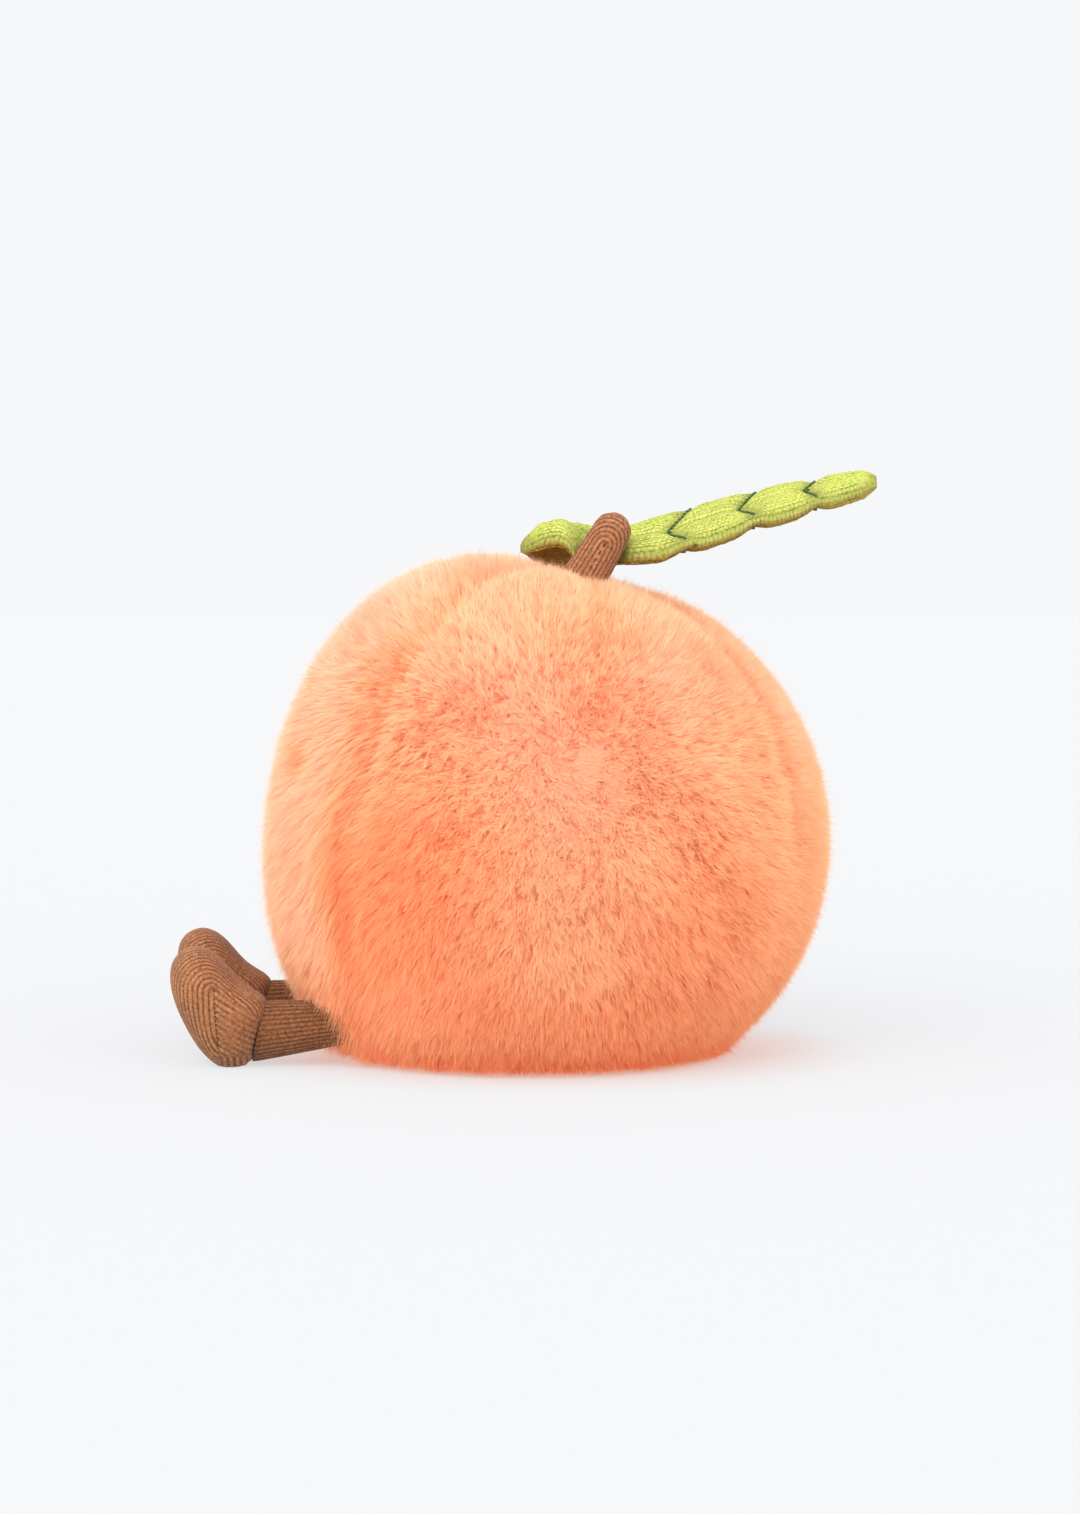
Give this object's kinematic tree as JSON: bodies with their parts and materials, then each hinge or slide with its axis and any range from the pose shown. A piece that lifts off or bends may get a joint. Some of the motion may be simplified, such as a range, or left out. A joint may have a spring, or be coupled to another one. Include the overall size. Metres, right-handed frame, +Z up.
{
  "type": "plush toy peach",
  "caption": "Sitting plush peach: fur-covered stuffed body sewn from gores, corduroy stem, legs and feet, and a quilted cloth leaf; rests on its flat base.",
  "frame": {"origin": "under the middle of the toy's outline, on the surface it sits on", "axes": "+Z up; the toy's front and its feet towards -Y, the leaf's tip towards +Y, the toy's left foot on the +X side"},
  "size_m": [0.1354, 0.177, 0.1458],
  "materials": {
    "peach_plush": "soft short-pile faux fur, pale peach at the crown to coral low down",
    "base_plush": "the same faux fur, pressed flat where the toy sits",
    "brown_corduroy": "fine-wale brushed corduroy",
    "leaf_cloth": "nubby ribbed green cloth with dark green stitching",
    "leaf_back_cloth": "nubby ribbed olive cloth",
    "stuffing_fibre": "white polyester fibre",
    "pouch_cloth": "plain woven cloth filled with fine beans"
  },
  "bodies": {
    "root": {"fur_gore_front": "peach_plush", "fur_gore_front_side_left": "peach_plush", "fur_gore_front_side_right": "peach_plush", "fur_gore_back_side_left": "peach_plush", "fur_gore_back_side_right": "peach_plush", "fur_gore_back": "peach_plush", "base_panel": "base_plush", "body_stuffing": "stuffing_fibre", "bean_pouch": "pouch_cloth", "stem_cover": "brown_corduroy", "stem_filling": "stuffing_fibre", "leaf_top": "leaf_cloth", "leaf_underside": "leaf_back_cloth", "leaf_wadding": "stuffing_fibre", "leg_cover_left": "brown_corduroy", "leg_cover_right": "brown_corduroy", "foot_cover_left": "brown_corduroy", "foot_cover_right": "brown_corduroy", "leg_filling_left": "stuffing_fibre", "leg_filling_right": "stuffing_fibre"}
  },
  "joints": []
}
